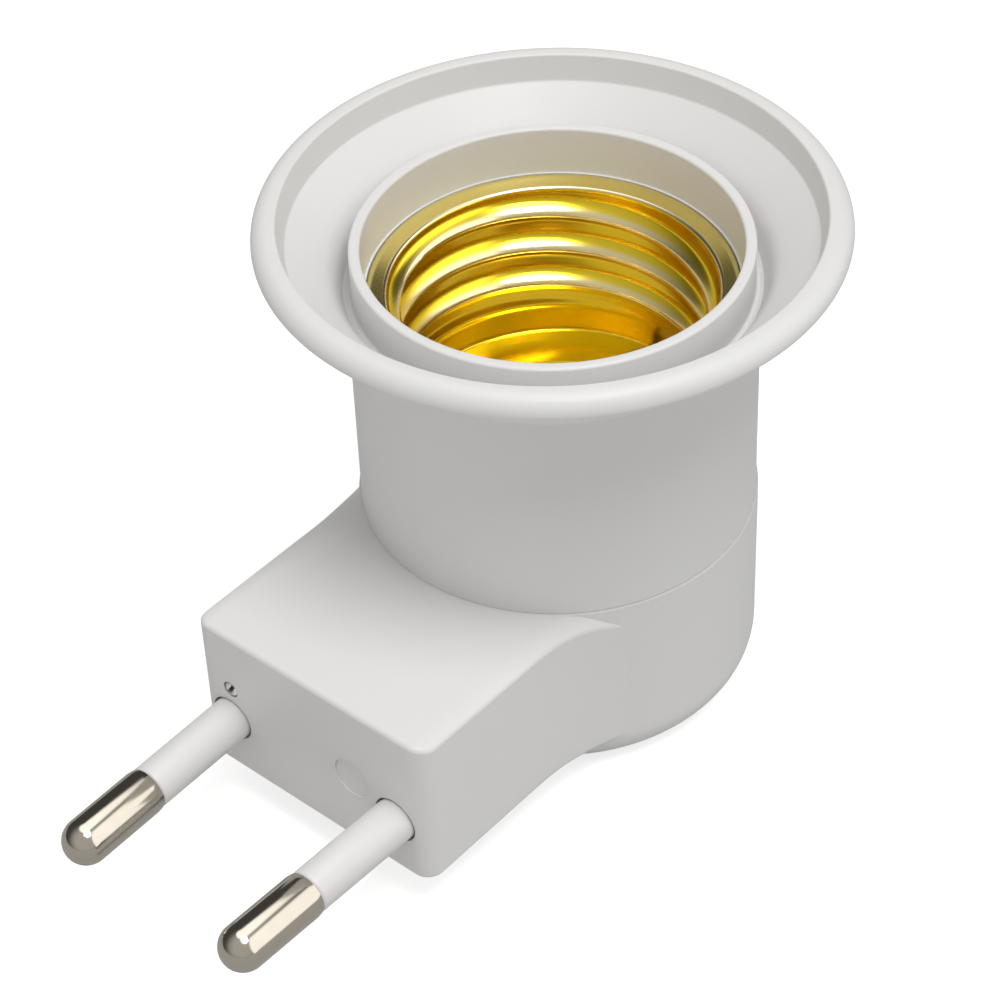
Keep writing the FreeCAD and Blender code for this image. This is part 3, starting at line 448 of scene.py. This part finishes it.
def shell_radius(angle, height):
    """The barrel's inner radius, with the thread fading out towards the flange and the floor"""
    far_side = math.radians(TOP_CREST_ANGLE)
    crest = TOP_CREST_HEIGHT + PITCH * (angle - far_side) / (2 * math.pi)
    depth = thread_depth((height - crest) / PITCH)
    depth *= eased((THREAD_START - height) / START_FADE) * eased((height - THREAD_END) / END_FADE)
    return THREAD_ROOT_R - depth * (THREAD_ROOT_R - THREAD_CREST_R)


def barrel(angle, start, end, thickness=0.0):
    """Points down or up the threaded wall, on its inside or a thickness outside it"""
    heights = [start + (end - start) * row / BARREL_ROWS for row in range(BARREL_ROWS + 1)]
    return [(shell_radius(angle, height) + thickness, height) for height in heights]


def shell_section(angle):
    """The sheet's section: flange, roll, barrel and floor inside, then back up the outside"""
    flange_under, floor = SHELL_FLANGE_TOP - SHEET, SHELL_FLOOR + SHEET
    barrel_end = floor + FLOOR_ROUND
    points = [(SHELL_FLANGE_R, flange_under), (SHELL_FLANGE_R, SHELL_FLANGE_TOP - FLANGE_CHAMFER)]
    points += [(SHELL_FLANGE_R - FLANGE_CHAMFER, SHELL_FLANGE_TOP)]
    points += [(SHELL_FLANGE_R - FLANGE_FLAT, SHELL_FLANGE_TOP)]
    points += arc(THREAD_ROOT_R + MOUTH_ROUND, THREAD_START, MOUTH_ROUND, 72, 180, 5)
    points += barrel(angle, THREAD_START, barrel_end)[1:]
    points += arc(THREAD_ROOT_R - FLOOR_ROUND, barrel_end, FLOOR_ROUND, 0, -90, 4)[1:]
    points += [(FLOOR_HOLE_R, floor), (FLOOR_HOLE_R, SHELL_FLOOR)]
    points += [(THREAD_ROOT_R + SHEET, SHELL_FLOOR)]
    points += barrel(angle, barrel_end, flange_under - FLANGE_DROP, SHEET)
    return points


shell = turned("gold_screw_shell", shell_section, SHELL_STEPS, sharp=40)
wear(shell, GOLD)
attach(shell, "holder")
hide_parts("screw_shell")


# Pins and their sleeves, turned about their own axes
def pin_matrix(side):
    """Places a pin's axis at the face, leaning towards the other pin"""
    lean = math.asin((PIN_SPACING - TIP_SPACING) / 2 / PIN_LENGTH)
    turn = Matrix.Rotation(-side * lean, 4, "Z") @ Matrix.Rotation(math.radians(90), 4, "X")
    place = Vector((side * PIN_SPACING / 2, FACE_Y, PIN_LEVEL)) * MM
    return Matrix.Translation(place) @ turn


def pin_profile():
    """A solder cup at the back, a stem in the sleeve, a tapered shoulder and a round tip"""
    end, tip_start = PIN_SLEEVE_END, PIN_LENGTH - PIN_R
    points = [(0, CUP_FLOOR), (CUP_R, CUP_FLOOR), (CUP_R, PIN_BACK), (STEM_R, PIN_BACK)]
    points += [(STEM_R, end), (PIN_R - 0.16, end), (PIN_R - 0.1, end + 0.03)]
    points += [(PIN_R - 0.06, end + 0.2), (PIN_R, end + 0.6)]
    points += arc(0, tip_start, PIN_R, 0, 90, 16)[:-1]
    return points + [(0, PIN_LENGTH)]


def pin_sleeve_profile():
    """A tube with a collar behind the face and a rounded end"""
    outer, bore, end = PIN_SLEEVE_R, PIN_SLEEVE_BORE_R, PIN_SLEEVE_END
    points = [(bore, PIN_SLEEVE_BACK), (outer, PIN_SLEEVE_BACK), (outer, COLLAR_BACK)]
    points += [(COLLAR_R, COLLAR_BACK), (COLLAR_R, COLLAR_FRONT), (outer, COLLAR_FRONT)]
    points += [(outer, end - 0.3), (outer - 0.03, end - 0.15), (outer - 0.12, end - 0.05)]
    points += [(outer - 0.2, end), (bore, end)]
    return points


for side, word in ((-1, "left"), (1, "right")):
    for kind, profile, slot_name in (("pin", pin_profile(), "pin_nickel"),
                                     ("pin_sleeve", pin_sleeve_profile(), "pin_insulation")):
        piece = lathe("turned_" + kind + "_" + word, profile, PIN_STEPS)
        wear(piece, SLOTS[slot_name])
        piece.matrix_world = pin_matrix(side)
        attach(piece, "holder")
        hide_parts(kind + "_" + word)


# Small screw head over the left pin, domed, with one slot
def carve(obj, tool):
    """Cuts the tool out of the object and removes the tool"""
    cutter = obj.modifiers.new("cut", "BOOLEAN")
    cutter.object = tool
    graph = bpy.context.evaluated_depsgraph_get()
    mesh = bpy.data.meshes.new_from_object(obj.evaluated_get(graph))
    obj.modifiers.clear()
    obj.data = mesh
    bpy.data.objects.remove(tool)


def bar(name, half_x, half_y, low, high):
    corners = [(x, y, z) for x in (-half_x, half_x) for y in (-half_y, half_y) for z in (low, high)]
    faces = [(0, 1, 3, 2), (4, 6, 7, 5), (0, 4, 5, 1), (2, 3, 7, 6), (0, 2, 6, 4), (1, 5, 7, 3)]
    return finish_mesh(name, corners, faces)


def slotted_head():
    """A shank with a blunt end under a domed head, slotted and set in the plug face"""
    profile = [(0, -SCREW_LENGTH), (SHANK_END_R, -SCREW_LENGTH), (SHANK_R, 0.2 - SCREW_LENGTH)]
    profile += [(SHANK_R, -HEAD_DEPTH), (HEAD_R, -HEAD_DEPTH)] + HEAD_DOME
    head = lathe("slotted_face_screw", profile, SCREW_STEPS)
    above_head = 0.2
    carve(head, bar("slot_tool", SLOT_HALF_LENGTH, SLOT_HALF_WIDTH, -SLOT_DEPTH, above_head))
    facing_out = Matrix.Rotation(math.radians(90), 4, "X")
    turn = facing_out @ Matrix.Rotation(math.radians(SLOT_TURN), 4, "Z")
    place = Vector((SCREW_X, FACE_Y, PIN_LEVEL + SCREW_RISE)) * MM
    head.matrix_world = Matrix.Translation(place) @ turn
    return wear(head, SCREW_NICKEL)


screw = slotted_head()
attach(screw, "holder")
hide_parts("face_screw")

# The spring leaf, a brass copy of its CAD mesh
leaf = bpy.data.objects.new("bending_leaf", NODES["contact_leaf"].data.copy())
bpy.context.scene.collection.objects.link(leaf)
wear(leaf, BRASS)
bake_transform(leaf)
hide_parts("contact_leaf")

# Camera at the photograph's angle: the eye's place, angles in degrees and focal length in pixels
EYE = (126.21, -147.25, 189.18)
AZIMUTH, ELEVATION, ROLL = 42.2, 41.599, -2.566
FOCAL_LENGTH, PHOTO_WIDTH, SENSOR_WIDTH = 3053.8, 990, 36


def look_from(eye, azimuth, elevation, roll):
    """Puts the camera at the eye, turned about the vertical, tipped down and rolled"""
    az, el, ro = (math.radians(angle) for angle in (azimuth, elevation, roll))
    back = Vector((math.sin(az) * math.cos(el), -math.cos(az) * math.cos(el), math.sin(el)))
    right = Vector((math.cos(az), math.sin(az), 0))
    up = back.cross(right)
    x_axis = right * math.cos(ro) + up * math.sin(ro)
    y_axis = up * math.cos(ro) - right * math.sin(ro)
    camera = bpy.data.cameras.new("photo_camera")
    camera.sensor_width = SENSOR_WIDTH
    camera.lens = FOCAL_LENGTH / PHOTO_WIDTH * SENSOR_WIDTH
    camera.clip_start, camera.clip_end = 0.01, 10
    obj = bpy.data.objects.new("photo_camera", camera)
    matrix = Matrix.Identity(4)
    for row in range(3):
        matrix[row][0], matrix[row][1], matrix[row][2] = x_axis[row], y_axis[row], back[row]
        matrix[row][3] = eye[row] * MM
    obj.matrix_world = matrix
    bpy.context.scene.collection.objects.link(obj)
    bpy.context.scene.camera = obj


look_from(EYE, AZIMUTH, ELEVATION, ROLL)

# Key light, in metres and watts
KEY_PLACE, KEY_TARGET = (0.21, -0.06, 0.69), (0, 0, 0.03)
KEY_SIZE, KEY_POWER = 0.36, 2.55


def area_light(name, place, target, size, power):
    light = bpy.data.lights.new(name, "AREA")
    light.shape = "DISK"
    light.size = size
    light.energy = power
    obj = bpy.data.objects.new(name, light)
    obj.location = place
    aim = (Vector(target) - Vector(place)).to_track_quat("-Z", "Y")
    obj.rotation_euler = aim.to_euler()
    bpy.context.scene.collection.objects.link(obj)


area_light("key", KEY_PLACE, KEY_TARGET, KEY_SIZE, KEY_POWER)

# The room's light: direction, cosines where it starts and is full, strengths before and after
OVERHEAD = ((0.15, -0.15, 0.98), -0.3, 1.0, 0.235, 0.48)
LEFT_SIDE = ((-0.74, -0.67, 0.1), 0.2, 1.0, 0.0, 0.20)
RIGHT_SIDE = ((0.74, 0.67, 0.1), 0.2, 1.0, 0.0, 0.13)
CAMERA_SIDE = ((0.67, -0.74, 0.1), 0.3, 1.0, 0.0, -0.12)
DIM_ROOM = ((0.5, -0.5, 0.7), 0.0, 0.85, 0.07, 0.52)
WINDOW = ((0.745, 0.586, 0.32), 0.70, 0.82, 0.0, 1.6)
PANEL = ((-0.168, 0.185, 0.97), 0.89, 0.95, 0.0, 1.7)
ROOM_COLOR = (1, 0.995, 0.985, 1)


def towards(tree, direction, aim, start, end, low, high):
    """Low away from the aim and high near it, eased between two cosines of the angle to it"""
    facing = tree.nodes.new("ShaderNodeVectorMath")
    facing.operation = "DOT_PRODUCT"
    facing.inputs[1].default_value = Vector(aim).normalized()
    tree.links.new(direction, facing.inputs[0])
    return spread(tree, facing.outputs["Value"], low, high, start, end, blend="SMOOTHSTEP")


def joined(tree, operation, direction, lights):
    """All the lights' strengths in one, by adding them up or by taking the highest"""
    total = towards(tree, direction, *lights[0])
    for light in lights[1:]:
        total = combine(tree, operation, total, towards(tree, direction, *light))
    return total


def studio_world():
    """Matt surfaces see soft light from overhead and both sides, and less from the camera's side.
    Mirror-like ones see a dim room, a bright window behind on the right and a panel overhead.
    The camera sees plain white."""
    world = bpy.data.worlds.new("studio")
    bpy.context.scene.world = world
    world.use_nodes = True
    tree = world.node_tree
    background = tree.nodes["Background"]
    background.inputs["Color"].default_value = ROOM_COLOR
    direction = tree.nodes.new("ShaderNodeTexCoord").outputs["Generated"]
    rays = tree.nodes.new("ShaderNodeLightPath").outputs
    soft = joined(tree, "ADD", direction, (OVERHEAD, LEFT_SIDE, RIGHT_SIDE, CAMERA_SIDE))
    mirrored = joined(tree, "MAXIMUM", direction, (DIM_ROOM, WINDOW, PANEL))
    change = combine(tree, "SUBTRACT", mirrored, soft)
    unseen = combine(tree, "MULTIPLY_ADD", change, rays["Is Glossy Ray"], soft)
    strength = combine(tree, "MAXIMUM", unseen, rays["Is Camera Ray"])
    tree.links.new(strength, background.inputs["Strength"])


studio_world()

# Floor: half its width in metres, its grey, how much darker it is mirrored, and its own glow
FLOOR_HALF = 3.0
FLOOR_GREY, MIRRORED_CHANGE, FLOOR_GLOW = 0.70, -0.22, 0.68


def studio_floor():
    """A pale floor that is near white to the camera and keeps the object's shadow"""
    mesh = bpy.data.meshes.new("floor")
    corners = [(-1, -1), (1, -1), (1, 1), (-1, 1)]
    mesh.from_pydata([(x * FLOOR_HALF, y * FLOOR_HALF, 0) for x, y in corners], [], [(0, 1, 2, 3)])
    obj = bpy.data.objects.new("floor", mesh)
    bpy.context.scene.collection.objects.link(obj)
    material, tree, shader = new_material("floor_white")
    shader.inputs["Roughness"].default_value = 0.9
    shader.inputs["Emission Color"].default_value = (1, 1, 1, 1)
    rays = tree.nodes.new("ShaderNodeLightPath").outputs
    grey = combine(tree, "MULTIPLY_ADD", rays["Is Glossy Ray"], MIRRORED_CHANGE, FLOOR_GREY)
    tree.links.new(grey, shader.inputs["Base Color"])
    glow = combine(tree, "MULTIPLY", rays["Is Camera Ray"], FLOOR_GLOW)
    tree.links.new(glow, shader.inputs["Emission Strength"])
    return wear(obj, material)


floor = studio_floor()

bpy.context.scene.view_settings.view_transform = "Standard"
